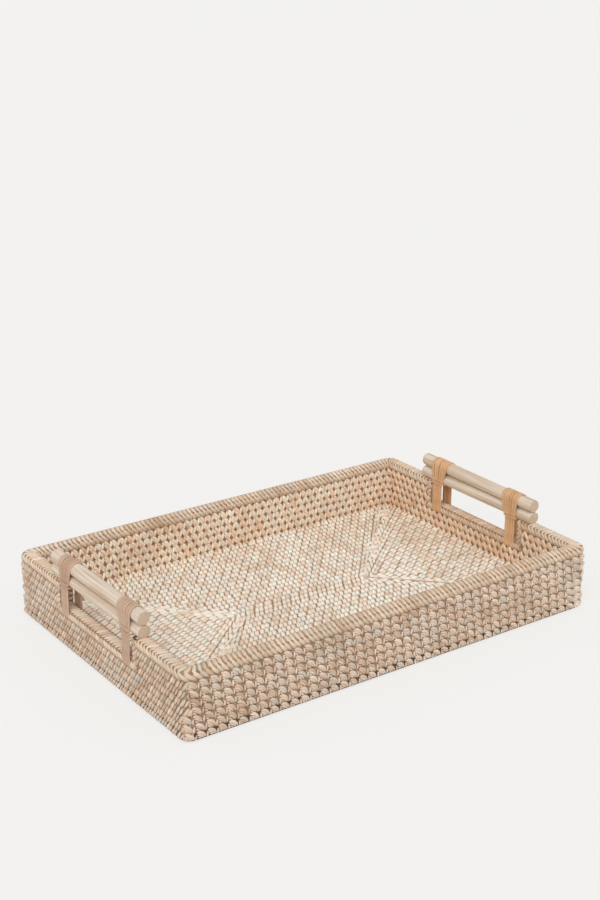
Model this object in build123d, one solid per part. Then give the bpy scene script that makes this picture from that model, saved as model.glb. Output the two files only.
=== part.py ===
"""Rattan serving tray: coil-woven floor and walls, lowered openings and lashed rod handles.

Frame: origin at the centre of the tray on the surface it rests on, +X along the tray, +Z up.
"""
import os

from build123d import *

# ---------------------------------------------------------------- driving dimensions, mm
# Tray
tray_length = 450.0            # X, over the rim
tray_width = 302.0             # Y, over the rim
wall_thickness = 12.0
rim_overhang = 0.3             # how far the rim stands proud of each wall face
outer_corner_radius = 10.0
inner_corner_radius = 2.5

# Wall courses and rim
course_height = 7.9
low_course_count = 4           # closed courses, below the handle openings
high_course_count = 3          # courses that stop at the handle openings
rim_height = 7.7
wall_reed_diameter = 4.6

# Floor
floor_row_count = 17
floor_thickness = 8.0
floor_lift = 5.0               # underside of the floor above the surface
floor_reed_diameter = 5.2

# Lowered opening in each short wall
dip_half_width = 66.0
dip_riser_width = 7.7
dip_bend_radius = 5.0

# Handles
rod_diameter = 12.6
rod_length = 166.0
left_rod_trim = 6.0            # the left rods stop this much short of the right ones at the front
rod_end_chamfer = 0.6
strap_top_width = 24.0
strap_foot_width = 20.0
strand_count = 5
strand_thickness = 1.2
binding_turns = 3
binding_turn_height = 2.0
binding_thickness = 1.0

# Fits
reed_clearance = 0.1           # round each reed in its binding
rod_seat_gap = 0.1             # under the lower rod
rod_gap = 0.2                  # between the two rods
strap_clearance = 0.1          # strap to rods and rim
strand_gap = 0.15              # between neighbouring strands
binding_clearance = 0.2        # binding turns to strap
binding_to_riser = 0.4         # binding turns to the riser beside them
turn_gap = 0.1                 # between neighbouring binding turns

# Rounding of the bound rows
crown_radius = 1.8             # edges with solid binding behind them
lip_radius = 0.9               # edges on the open side of a binding

# ---------------------------------------------------------------- derived places
wall_half_length = tray_length / 2 - rim_overhang
wall_half_width = tray_width / 2 - rim_overhang
inner_half_length = wall_half_length - wall_thickness
inner_half_width = wall_half_width - wall_thickness
wall_centre_x = wall_half_length - wall_thickness / 2
rim_width = wall_thickness + 2 * rim_overhang

course_count = low_course_count + high_course_count
wall_height = course_count * course_height + rim_height
dip_base_z = low_course_count * course_height
dip_top_z = dip_base_z + rim_height
dip_end_y = dip_half_width + dip_riser_width

row_pitch = inner_half_width / (floor_row_count + 0.5)
spine_half_length = inner_half_length - floor_row_count * row_pitch

reed_pair_width = 2 * wall_reed_diameter + 3 * reed_clearance
reed_pair_height = wall_reed_diameter + 2 * reed_clearance
wall_binding = (wall_thickness - reed_pair_width) / 2
reed_inset = wall_binding + reed_clearance + wall_reed_diameter / 2
floor_reed_room = floor_reed_diameter + 2 * reed_clearance

rod_radius = rod_diameter / 2
lower_rod_z = wall_height + rod_seat_gap + rod_radius
upper_rod_z = lower_rod_z + rod_diameter + rod_gap
binding_reach = binding_clearance + binding_thickness
binding_top_z = dip_top_z + binding_turns * (binding_turn_height + turn_gap)
strap_taper = (strap_top_width - strap_foot_width) / (upper_rod_z + rod_radius - dip_base_z)
binding_half_width = (strap_foot_width + strap_taper * (binding_top_z - dip_base_z)) / 2
strap_centre_y = dip_half_width - binding_to_riser - binding_reach - binding_half_width

SIDES = {"left": -1, "right": 1}      # short walls, by the sign of X
RUNS = {"front": -1, "back": 1}       # long walls, by the sign of Y
FAR = 1000.0                          # larger than the tray, for cutting away a half


# ---------------------------------------------------------------- shapes used many times
def outline(half_length, half_width, radius):
    """Rounded rectangle centred on the origin."""
    return RectangleRounded(2 * half_length, 2 * half_width, radius)


def wall_outline(inset, side):
    """Outline at a distance inside the outer wall face, or outside the inner wall face."""
    if side == "outer":
        return outline(wall_half_length - inset, wall_half_width - inset, outer_corner_radius - inset)
    return outline(inner_half_length + inset, inner_half_width + inset, inner_corner_radius + inset)


def prism(sketch, low, high):
    """Upright prism of a sketch between two heights."""
    return Pos(0, 0, low) * extrude(sketch, high - low)


def round_ring(ring, top_radius, bottom_radius):
    """Round the upper and lower edges of a plain ring."""
    ring = fillet(ring.faces().sort_by(Axis.Z)[-1].edges(), top_radius)
    return fillet(ring.faces().sort_by(Axis.Z)[0].edges(), bottom_radius)


def reed_loop(sketch, height, diameter):
    """Round reed along the outline of a sketch."""
    path = sketch.face().outer_wire().moved(Location((0, 0, height)))
    section = Plane(origin=path @ 0, z_dir=path % 0) * Circle(diameter / 2)
    return sweep(section, path)


def long_run(piece, sign):
    """The part of a ring along one long wall, up to the risers of the handle openings."""
    keep = Pos(0, sign * (dip_end_y + FAR / 2), 0) * Box(FAR, FAR, FAR)
    return piece & keep


def end_run(piece, sign):
    """The part of a ring along one short wall, between the two long runs."""
    keep = Pos(sign * FAR / 2, 0, 0) * Box(FAR, 2 * dip_end_y, FAR)
    return piece & keep


# ---------------------------------------------------------------- floor
def floor_row_outline(row, outset=0.0):
    """Outer outline of a floor row; row 0 is the spine."""
    reach = row * row_pitch + outset
    return outline(spine_half_length + reach, row_pitch / 2 + reach, inner_corner_radius + outset)


def floor_spine():
    """Straight binding that the floor coil starts on, with a tunnel for its reed."""
    bar = prism(floor_row_outline(0), floor_lift, floor_lift + floor_thickness)
    bar = fillet(bar.edges().group_by(Axis.Z)[-1], lip_radius)
    tunnel = Box(FAR, floor_reed_room, floor_reed_room)
    return bar - Pos(0, 0, floor_lift + floor_thickness / 2) * tunnel


def floor_row(row):
    """Binding of one floor row, open towards the row inside it."""
    ring = floor_row_outline(row) - floor_row_outline(row - 1)
    ring = prism(ring, floor_lift, floor_lift + floor_thickness)
    ring = round_ring(ring, lip_radius, lip_radius)
    room = floor_row_outline(row - 1, floor_reed_room) - floor_row_outline(row - 1)
    middle = floor_lift + floor_thickness / 2
    return ring - prism(room, middle - floor_reed_room / 2, middle + floor_reed_room / 2)


def floor_reeds():
    """One reed for the spine and one for each row."""
    middle = floor_lift + floor_thickness / 2
    length = 2 * (spine_half_length - inner_corner_radius)
    straight = Cylinder(floor_reed_diameter / 2, length, rotation=(0, 90, 0))
    reeds = [Pos(0, 0, middle) * straight]
    for row in range(1, floor_row_count + 1):
        path = floor_row_outline(row - 1, floor_reed_room / 2)
        reeds.append(reed_loop(path, middle, floor_reed_diameter))
    return reeds


# ---------------------------------------------------------------- walls
def strap_pockets():
    """Room for the straps where they pass under the lowered rims."""
    length = strap_foot_width + 2 * strap_clearance
    depth = strand_thickness + 3 * strap_clearance
    pocket = Box(2 * wall_thickness, length, depth)
    height = dip_base_z - depth / 2
    return [
        Pos(side * wall_centre_x, run * strap_centre_y, height) * pocket
        for side in SIDES.values()
        for run in RUNS.values()
    ]


def reed_room(low):
    """Ring-shaped room for a pair of reeds."""
    ring = wall_outline(wall_binding, "outer") - wall_outline(wall_binding, "inner")
    return prism(ring, low, low + reed_pair_height)


def wall_course(number):
    """Binding of one course, all the way round. The lowest opens up, the others down."""
    low = (number - 1) * course_height
    top = low + course_height
    ring = prism(wall_outline(0, "outer") - wall_outline(0, "inner"), low, top)
    if number == 1:
        ring = round_ring(ring, lip_radius, crown_radius)
        return ring - reed_room(top - reed_pair_height)
    ring = round_ring(ring, crown_radius, lip_radius) - reed_room(low)
    if number == low_course_count:
        ring -= strap_pockets()
    return ring


def reed_pair(number):
    """The two reeds inside a course; the one after the last course is the rim."""
    height = (number - 1) * course_height + reed_clearance + wall_reed_diameter / 2
    if number == 1:
        height = course_height - reed_clearance - wall_reed_diameter / 2
    return [
        reed_loop(wall_outline(reed_inset, side), height, wall_reed_diameter)
        for side in ("outer", "inner")
    ]


def rim():
    """Wrapped rim on top of the walls, all the way round."""
    low = course_count * course_height
    ring = wall_outline(-rim_overhang, "outer") - wall_outline(-rim_overhang, "inner")
    ring = round_ring(prism(ring, low, wall_height), crown_radius, lip_radius)
    return ring - reed_room(low)


def dip_rim(side):
    """Lowered rim under a handle, with a riser at each end that climbs to the shoulders."""
    rise = wall_height - dip_base_z
    frame = Pos(0, dip_base_z + rise / 2) * Rectangle(2 * dip_end_y, rise)
    gap_height = wall_height - dip_top_z
    frame -= Pos(0, dip_top_z + gap_height / 2) * Rectangle(2 * dip_half_width, gap_height)
    inner_corners = frame.vertices().filter_by(lambda v: abs(v.X) < (dip_half_width + dip_end_y) / 2)
    frame = fillet(inner_corners.group_by(Axis.Y)[-1], dip_bend_radius)
    body = extrude(Plane.YZ * frame, rim_width / 2, both=True)
    channel = Box(reed_pair_width, 2 * dip_end_y, reed_pair_height)
    body -= Pos(0, 0, dip_base_z + reed_pair_height / 2) * channel
    return Pos(side * wall_centre_x, 0, 0) * body


def dip_reeds(side):
    """Two straight reeds inside the lowered rim."""
    reed = Cylinder(wall_reed_diameter / 2, 2 * dip_end_y - 2 * reed_clearance, rotation=(90, 0, 0))
    height = dip_base_z + reed_clearance + wall_reed_diameter / 2
    step = (wall_reed_diameter + reed_clearance) / 2
    return [Pos(side * wall_centre_x + shift, 0, height) * reed for shift in (-step, step)]


# ---------------------------------------------------------------- handles
def handle_rod(side, height):
    """Cane rod with lightly broken end edges."""
    trim = left_rod_trim if side == SIDES["left"] else 0.0
    rod = Cylinder(rod_radius, rod_length - trim, rotation=(90, 0, 0))
    rod = chamfer(rod.edges().filter_by(GeomType.CIRCLE), rod_end_chamfer)
    return Pos(side * wall_centre_x, trim / 2, height) * rod


def strap_section(reach):
    """Outline that wraps both rods and the lowered rim, at a distance from them."""
    rods = [Pos(0, z) * Circle(rod_radius + reach) for z in (lower_rod_z, upper_rod_z)]
    foot_height = rim_height + 2 * reach
    foot = Pos(0, dip_base_z + rim_height / 2) * Rectangle(rim_width + 2 * reach, foot_height)
    edges = rods[0].edges() + rods[1].edges() + foot.edges()
    return make_hull(edges)


def strap_width_at(height):
    """Width of a strap at a height; it narrows evenly from the upper rod to its foot."""
    return strap_foot_width + strap_taper * (height - dip_base_z)


def strap(side, run):
    """Flat strands side by side, each looped over the rods and under the lowered rim."""
    outer = strap_clearance + strand_thickness
    band = extrude(strap_section(outer) - strap_section(strap_clearance), strap_top_width, both=True)
    band = Rot(90, 0, 0) * band
    low = dip_base_z - 2 * strand_thickness
    high = upper_rod_z + rod_radius + 2 * strand_thickness
    strands = []
    for number in range(strand_count):
        near = number / strand_count - 0.5
        far = (number + 1) / strand_count - 0.5
        half_gap = strand_gap / 2
        corners = [
            (near * strap_foot_width + half_gap, low),
            (far * strap_foot_width - half_gap, low),
            (far * strap_width_at(high) - half_gap, high),
            (near * strap_width_at(high) + half_gap, high),
        ]
        slice_face = Plane.YZ * make_face(Polyline(*corners, close=True))
        strand = band & extrude(slice_face, 2 * rim_width, both=True)
        strands.append(Pos(side * wall_centre_x, run * strap_centre_y, 0) * strand)
    return strands


def leg_half_width(height):
    """Half the distance between a strap's legs, inside, between lowered rim and lower rod."""
    share = (height - dip_base_z) / (lower_rod_z - dip_base_z)
    spread = max(0.0, share * (rod_radius - rim_width / 2))
    return rim_width / 2 + spread + strap_clearance


def binding(side, run):
    """Turns of peel round the foot of a strap, just above the lowered rim."""
    turns = []
    for number in range(binding_turns):
        low = dip_top_z + turn_gap + number * (binding_turn_height + turn_gap)
        high = low + binding_turn_height
        reach = max(leg_half_width(low), leg_half_width(high)) + strand_thickness + binding_clearance
        half_width = strap_width_at(high) / 2 + binding_clearance
        hole = outline(reach, half_width, binding_thickness / 2)
        turn = prism(offset(hole, binding_thickness) - hole, low, high)
        turns.append(Pos(side * wall_centre_x, run * strap_centre_y, 0) * turn)
    return turns


# ---------------------------------------------------------------- all sub-parts
def build():
    """Every sub-part by name."""
    parts = {"floor_spine": floor_spine(), "floor_reeds": floor_reeds()}
    for row in range(1, floor_row_count + 1):
        parts[f"floor_row_{row:02d}"] = floor_row(row)

    for number in range(1, course_count + 1):
        course = wall_course(number)
        reeds = reed_pair(number)
        if number <= low_course_count:
            long_runs = [long_run(course, run) for run in RUNS.values()]
            end_runs = [end_run(course, side) for side in SIDES.values()]
            parts[f"wall_course_{number}"] = long_runs + end_runs
            parts[f"wall_reeds_{number}"] = reeds
            continue
        for name, run in RUNS.items():
            parts[f"wall_course_{number}_{name}"] = long_run(course, run)
            parts[f"wall_reeds_{number}_{name}"] = [long_run(reed, run) for reed in reeds]

    whole_rim = rim()
    rim_reeds = reed_pair(course_count + 1)
    for name, run in RUNS.items():
        parts[f"rim_{name}"] = long_run(whole_rim, run)
        parts[f"rim_reeds_{name}"] = [long_run(reed, run) for reed in rim_reeds]

    for side_name, side in SIDES.items():
        parts[f"dip_rim_{side_name}"] = dip_rim(side)
        parts[f"dip_reeds_{side_name}"] = dip_reeds(side)
        parts[f"{side_name}_rod_lower"] = handle_rod(side, lower_rod_z)
        parts[f"{side_name}_rod_upper"] = handle_rod(side, upper_rod_z)
        for run_name, run in RUNS.items():
            parts[f"{side_name}_strap_{run_name}"] = strap(side, run)
            parts[f"{side_name}_binding_{run_name}"] = binding(side, run)
    return parts


os.makedirs("parts", exist_ok=True)
for node, shape in build().items():
    if isinstance(shape, list):
        solids = [solid for piece in shape for solid in piece.solids()]
        shape = Compound(children=solids)
    export_step(shape, f"parts/{node}.step")
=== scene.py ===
"""Looks of a coil-woven rattan serving tray, built round its fixed frame. Metres, +Z up."""
import math

import bpy
import numpy as np
from bpy.props import FloatProperty, FloatVectorProperty, IntProperty, PointerProperty
from mathutils import Matrix, Vector


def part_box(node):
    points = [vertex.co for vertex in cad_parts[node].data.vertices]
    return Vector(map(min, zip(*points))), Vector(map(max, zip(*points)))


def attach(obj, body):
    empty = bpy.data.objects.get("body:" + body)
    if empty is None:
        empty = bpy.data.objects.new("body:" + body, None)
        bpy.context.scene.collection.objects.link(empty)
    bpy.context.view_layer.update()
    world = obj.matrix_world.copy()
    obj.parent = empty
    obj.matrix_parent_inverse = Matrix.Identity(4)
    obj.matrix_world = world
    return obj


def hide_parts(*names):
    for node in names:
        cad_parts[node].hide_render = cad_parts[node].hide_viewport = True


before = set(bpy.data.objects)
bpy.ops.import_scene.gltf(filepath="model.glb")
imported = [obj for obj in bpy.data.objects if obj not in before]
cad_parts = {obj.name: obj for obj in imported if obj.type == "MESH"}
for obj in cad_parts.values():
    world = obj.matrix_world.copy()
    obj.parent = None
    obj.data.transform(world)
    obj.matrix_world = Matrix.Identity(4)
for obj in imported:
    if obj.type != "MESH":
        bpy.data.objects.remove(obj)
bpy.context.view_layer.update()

bl_info = {
    "name": "Rattan serving tray",
    "version": (1, 0, 0),
    "blender": (4, 5, 0),
    "location": "3D View > Sidebar > Tray",
    "description": "Weaves the floor, walls, rim and handles of a rattan serving tray",
    "category": "Object",
}

MM = 0.001
NODES = sorted(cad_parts)


# ---------------------------------------------------------------- places taken from the frame
def corners(node):
    """Lowest and highest corners of a node, as two vectors."""
    low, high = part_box(node)
    return Vector(low), Vector(high)


def span(prefix):
    """Lowest and highest corners of all the nodes whose names start with a prefix."""
    boxes = [corners(name) for name in NODES if name.startswith(prefix)]
    low = Vector(min(box[0][axis] for box in boxes) for axis in range(3))
    high = Vector(max(box[1][axis] for box in boxes) for axis in range(3))
    return low, high


def count_nodes(prefix):
    """How many nodes have names that start with a prefix."""
    return sum(name.startswith(prefix) for name in NODES)


WALL_LOW, WALL_HIGH = span("wall_course_1")
COURSE_HEIGHT = WALL_HIGH.z - WALL_LOW.z
COURSE_COUNT = len({name.split("_")[2] for name in NODES if name.startswith("wall_course_")})
RIM_LOW, RIM_HIGH = corners("rim_front")
DIP_LOW, DIP_HIGH = corners("dip_rim_right")
LOW_COURSES = round(DIP_LOW.z / COURSE_HEIGHT)
RIM_WIDTH = DIP_HIGH.x - DIP_LOW.x
RIM_HEIGHT = RIM_HIGH.z - RIM_LOW.z
FLOOR_ROWS = count_nodes("floor_row_")
FLOOR_LOW, FLOOR_HIGH = corners(f"floor_row_{FLOOR_ROWS:02d}")
ROW_PITCH = (corners("floor_row_02")[1].x - corners("floor_row_01")[1].x)
WALL_DEPTH = WALL_HIGH.x - FLOOR_HIGH.x
OUTER_RADIUS = 10.0 * MM
INNER_RADIUS = 2.5 * MM
DIP_HALF = DIP_HIGH.y - RIM_HEIGHT
TRAY_LENGTH = RIM_HIGH.x - RIM_LOW.x
FRONT_SIDE, RIGHT_SIDE, BACK_SIDE, LEFT_SIDE = range(4)

# ---------------------------------------------------------------- small allowances
CORNER_FAN = 20.0 * MM          # length beside a corner over which stitches fan out
FOOT_CLEARANCE = 2.0 * MM       # lowest place of any stitch
ROWS_PER_PIECE = 3              # floor rows gathered into one mesh
STRAND_COUNT = 6                # strands in a strap
STRAP_FOOT_SHARE = 0.58         # width of a strap's foot against its top
STRAP_DRAW = 2.2 * MM           # how far the foot is drawn towards the riser
TURN_COUNT = 3                  # turns round the foot of a strap
TURN_RISE = 1.7 * MM
TURN_HALF_WIDTH = 0.85 * MM
STRAND_SECTION = (
    (-1, 0.15), (-0.8, 0.75), (-0.3, 1.0), (0.3, 1.0), (0.8, 0.75), (1, 0.15), (0.9, -0.1), (-0.9, -0.1))
TURN_SECTION = ((-1, 0.1), (-0.6, 0.8), (0.0, 1.0), (0.6, 0.8), (1, 0.1), (0.0, -0.1))


# ---------------------------------------------------------------- settings shown in the panel
class TrayWeave(bpy.types.PropertyGroup):
    """Sizes of the peel and its stitches"""

    stitch_pitch: FloatProperty(
        name="Wall stitch", description="Distance between stitches along a wall course",
        default=10.4 * MM, unit="LENGTH")
    end_pitch: FloatProperty(
        name="End wall stitch", description="Distance between stitches on the short walls and inside",
        default=8.4 * MM, unit="LENGTH")
    floor_pitch: FloatProperty(
        name="Floor stitch", description="Distance between pairs of stitches along a floor row",
        default=10.4 * MM, unit="LENGTH")
    wrap_pitch: FloatProperty(
        name="Rim wrap", description="Distance between the turns round the rim",
        default=4.8 * MM, unit="LENGTH")
    peel_thickness: FloatProperty(
        name="Peel", description="Thickness of the flat rattan peel",
        default=0.9 * MM, unit="LENGTH")
    course_step: FloatProperty(
        name="Course step", description="How far the long walls' stitches move on with each course up",
        default=-1.2 * MM, unit="LENGTH")
    end_step: FloatProperty(
        name="End course step", description="How far the short walls' stitches move on with each course up",
        default=5.6 * MM, unit="LENGTH")
    inner_step: FloatProperty(
        name="Inner step", description="How far the inner stitches move on with each course up",
        default=-4.0 * MM, unit="LENGTH")
    floor_step: FloatProperty(
        name="Floor step", description="How far the floor stitches move on with each row outwards",
        default=-3.7 * MM, unit="LENGTH")
    seed: IntProperty(
        name="Seed", description="Start of the random unevenness of the hand weave", default=7)


class TrayColours(bpy.types.PropertyGroup):
    """Colours of the whitewashed rattan"""

    outer_wall: FloatVectorProperty(
        name="Outer walls", description="Peel on the outside of the walls",
        default=(0.75, 0.603, 0.476), size=3, subtype="COLOR")
    # Painted light: the outer wall's colour made 1.28 times brighter, to offset the shade inside the tray.
    inner_long_wall_brightened: FloatVectorProperty(
        name="Inside of long walls", description="Peel on the inside of the long walls",
        default=(0.96, 0.77, 0.61), size=3, subtype="COLOR")
    inner_short_wall: FloatVectorProperty(
        name="Inside of short walls", description="Warmer peel on the inside of the short walls",
        default=(0.92, 0.68, 0.49), size=3, subtype="COLOR")
    floor: FloatVectorProperty(
        name="Floor", description="Peel of the floor",
        default=(0.98, 0.86, 0.73), size=3, subtype="COLOR")
    rim: FloatVectorProperty(
        name="Rim", description="Peel wrapped round the rim",
        default=(0.80, 0.64, 0.49), size=3, subtype="COLOR")
    rod: FloatVectorProperty(
        name="Rods", description="Sanded and whitewashed rattan pole",
        default=(0.74, 0.62, 0.50), size=3, subtype="COLOR")
    left_strap: FloatVectorProperty(
        name="Left straps", description="Flat peel of the left handle's lashings",
        default=(0.63, 0.43, 0.305), size=3, subtype="COLOR")
    # Partly real, partly painted light: the right handle's peel is warmer and less washed, and its colour is
    # also brightened to offset the shade on the handle's inner side, which the camera sees.
    right_strap_brightened: FloatVectorProperty(
        name="Right straps", description="Warmer, less washed peel of the right handle's lashings",
        default=(0.81, 0.51, 0.29), size=3, subtype="COLOR")
    # Painted shade: a dark colour for the hollows of the weave. It goes on the low parts of the peel and on
    # the backing seen through the gaps.
    hollow_shade: FloatVectorProperty(
        name="Hollows", description="Shadowed cane deep in the weave",
        default=(0.38, 0.255, 0.16), size=3, subtype="COLOR")
    backdrop: FloatVectorProperty(
        name="Floor and backdrop", description="Plain pale surface that the tray stands on",
        default=(0.904, 0.896, 0.879), size=3, subtype="COLOR")


# ---------------------------------------------------------------- meshes from arrays
class Outline:
    """Rounded rectangles one inside the other, followed anticlockwise from the front left."""

    def __init__(self, half_x, half_y, depth, outer_radius, inner_radius):
        self.half_x = half_x
        self.half_y = half_y
        self.depth = depth
        self.radii = (outer_radius, inner_radius)
        middle_x = 2 * (half_x - depth / 2 - (outer_radius + inner_radius) / 2)
        middle_y = 2 * (half_y - depth / 2 - (outer_radius + inner_radius) / 2)
        bend = (outer_radius + inner_radius) / 2 * math.pi / 2
        self.lengths = np.array([middle_x, bend, middle_y, bend] * 2)
        self.starts = np.concatenate([[0.0], np.cumsum(self.lengths)[:-1]])
        self.length = self.lengths.sum()

    def place(self, along, inset):
        """Points at a distance along the outline and inside its outer line."""
        along = np.mod(along, self.length)
        part = np.clip(np.searchsorted(self.starts, along, side="right") - 1, 0, 7)
        length = self.lengths[part]
        share = (along - self.starts[part]) / length
        quarter = part // 2
        outer, inner = self.radii
        radius = np.maximum(outer + (inner - outer) * inset / self.depth, 0.2 * MM)
        half_x = self.half_x - inset
        half_y = self.half_y - inset
        lengthwise = quarter % 2 == 0
        run = np.where(lengthwise, half_x, half_y) - radius
        out = np.where(lengthwise, half_y, half_x)
        straight = part % 2 == 0
        angle = share * math.pi / 2
        level = (share - 0.5) * length
        near_corner = np.clip((np.abs(level) - length / 2) / CORNER_FAN + 1, 0, 1) ** 2
        level += np.sign(level) * (run - length / 2) * near_corner
        x = np.where(straight, level, run + radius * np.sin(angle))
        y = np.where(straight, -out, radius - out - radius * np.cos(angle))
        turn = quarter * math.pi / 2
        return x * np.cos(turn) - y * np.sin(turn), x * np.sin(turn) + y * np.cos(turn)

    def lattice(self, side, pitch, shift, margin=0.0):
        """Places in step with the middle of one side, up to a margin short of its corners."""
        middle = self.starts[2 * side] + self.lengths[2 * side] / 2
        reach = (self.lengths[2 * side] + self.lengths[2 * side + 1]) / 2 - margin
        first = math.ceil((-reach - shift) / pitch)
        last = math.floor((reach - shift) / pitch)
        return middle + np.arange(first, last + 1) * pitch + shift


def strip_template(line, widths, heights, thickness, across=5, crown=0.3):
    """One closed flat strip in (along, over, out) and its grain in (length, width, depth)."""
    line = np.asarray(line, float)
    direction = np.gradient(line, axis=0)
    direction /= np.linalg.norm(direction, axis=1)[:, None]
    sideways = np.stack([-direction[:, 1], direction[:, 0]], axis=1)
    spread = np.linspace(-1, 1, across)
    flat = line[:, None, :] + sideways[:, None, :] * (spread[None, :, None] * widths[:, None, None] / 2)
    top = heights[:, None] + crown * thickness * (1 - spread[None, :] ** 2)
    upper = np.concatenate([flat, top[:, :, None]], axis=2)
    lower = np.concatenate([flat, (top - thickness)[:, :, None]], axis=2)
    points = np.concatenate([upper.reshape(-1, 3), lower.reshape(-1, 3)])
    steps = np.concatenate([[0], np.cumsum(np.linalg.norm(np.diff(line, axis=0), axis=1))])
    grain_along = np.repeat(steps, across)
    grain_over = (spread[None, :] * widths[:, None] / 2).ravel()
    depth = np.repeat(heights, across)
    grain = np.stack([np.tile(grain_along, 2), np.tile(grain_over, 2), np.tile(depth, 2)], axis=1)
    return points, strip_faces(len(line), across), grain


def strip_faces(rows, across):
    """Faces of a closed strip: upper grid, lower grid and the four edges between them."""
    index = np.arange(rows * across).reshape(rows, across)
    below = index + rows * across
    upper = np.stack([index[:-1, :-1], index[1:, :-1], index[1:, 1:], index[:-1, 1:]], -1).reshape(-1, 4)
    lower = np.stack([below[:-1, :-1], below[:-1, 1:], below[1:, 1:], below[1:, :-1]], -1).reshape(-1, 4)
    left = np.stack([index[:-1, 0], below[:-1, 0], below[1:, 0], index[1:, 0]], -1)
    right = np.stack([index[:-1, -1], index[1:, -1], below[1:, -1], below[:-1, -1]], -1)
    first = np.stack([index[0, :-1], index[0, 1:], below[0, 1:], below[0, :-1]], -1)
    last = np.stack([index[-1, :-1], below[-1, :-1], below[-1, 1:], index[-1, 1:]], -1)
    return np.concatenate([upper, lower, left, right, first, last])


class Bundle:
    """Strips gathered into one mesh."""

    def __init__(self, rng):
        self.rng = rng
        self.points = []
        self.faces = []
        self.grain = []
        self.tones = []
        self.total = 0

    def add(self, points, faces, grain, strips=1, flip=False):
        """Add one block of placed strips. Flip turns the faces over where the mapping mirrors."""
        self.faces.append((faces[:, ::-1] if flip else faces) + self.total)
        self.points.append(points)
        self.grain.append(grain)
        self.tones.append(np.repeat(self.rng.random(strips), len(points) // strips))
        self.total += len(points)

    def add_copies(self, template, shifts, place, flip=False):
        """Add a copy of a template at each shift, mapped to the tray by a placing function."""
        points, faces, grain = template
        many = (points[None] + shifts[:, None, :]).reshape(-1, 3)
        offsets = np.arange(len(shifts))[:, None, None] * len(points)
        copies = (faces[None] + offsets).reshape(-1, 4)
        grains = np.tile(grain, (len(shifts), 1))
        grains[:, 0] += np.repeat(np.arange(len(shifts)) * 0.037, len(points))
        self.add(place(many), copies, grains, len(shifts), flip)

    def piece(self, name, material, slot):
        """Make the object and let it ride on the tray."""
        mesh = bpy.data.meshes.new(name)
        mesh.from_pydata(np.concatenate(self.points).tolist(), [], np.concatenate(self.faces).tolist())
        layer = mesh.attributes.new("grain", "FLOAT_VECTOR", "POINT")
        layer.data.foreach_set("vector", np.concatenate(self.grain).ravel().astype(np.float32))
        layer = mesh.attributes.new("tone", "FLOAT", "POINT")
        layer.data.foreach_set("value", np.concatenate(self.tones).astype(np.float32))
        mesh.polygons.foreach_set("use_smooth", np.ones(len(mesh.polygons), dtype=bool))
        mesh.materials.append(material)
        mesh.update()
        made = bpy.data.objects.new(name, mesh)
        bpy.context.scene.collection.objects.link(made)
        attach(made, "root")
        return made


# ---------------------------------------------------------------- materials
def new_material(name, roughness):
    """A material with its shader, and a helper that adds linked nodes."""
    material = bpy.data.materials.new(name)
    material.use_nodes = True
    tree = material.node_tree
    shader = tree.nodes["Principled BSDF"]
    shader.inputs["Roughness"].default_value = roughness
    shader.inputs["Specular IOR Level"].default_value = 0.3
    return material, tree, shader


def add_node(tree, kind, inputs=None, **settings):
    """Add a node; inputs maps a socket to a value or to another node's socket."""
    node = tree.nodes.new(kind)
    for key, value in settings.items():
        setattr(node, key, value)
    for key, value in (inputs or {}).items():
        if isinstance(value, bpy.types.NodeSocket):
            tree.links.new(value, node.inputs[key])
        else:
            node.inputs[key].default_value = value
    return node


def ramp(tree, factor, stops):
    """Colour ramp; each stop is a place and a colour."""
    node = add_node(tree, "ShaderNodeValToRGB", {"Fac": factor})
    elements = node.color_ramp.elements
    while len(elements) < len(stops):
        elements.new(0.5)
    for element, (place, colour) in zip(elements, stops):
        element.position = place
        element.color = (*colour, 1.0)
    return node.outputs["Color"]


def mix(tree, blend, factor, first, second):
    """Mix two colours."""
    node = add_node(tree, "ShaderNodeMix", data_type="RGBA", blend_type=blend)
    for socket, value in ((node.inputs[0], factor), (node.inputs[6], first), (node.inputs[7], second)):
        if isinstance(value, bpy.types.NodeSocket):
            tree.links.new(value, socket)
        else:
            socket.default_value = value
    return node.outputs[2]


def tint(colour, red=1.0, green=1.0, blue=1.0):
    """A colour with each channel scaled."""
    return tuple(min(1.0, value * scale) for value, scale in zip(colour, (red, green, blue)))


def grey(value):
    """A neutral colour."""
    return (value, value, value)


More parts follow.
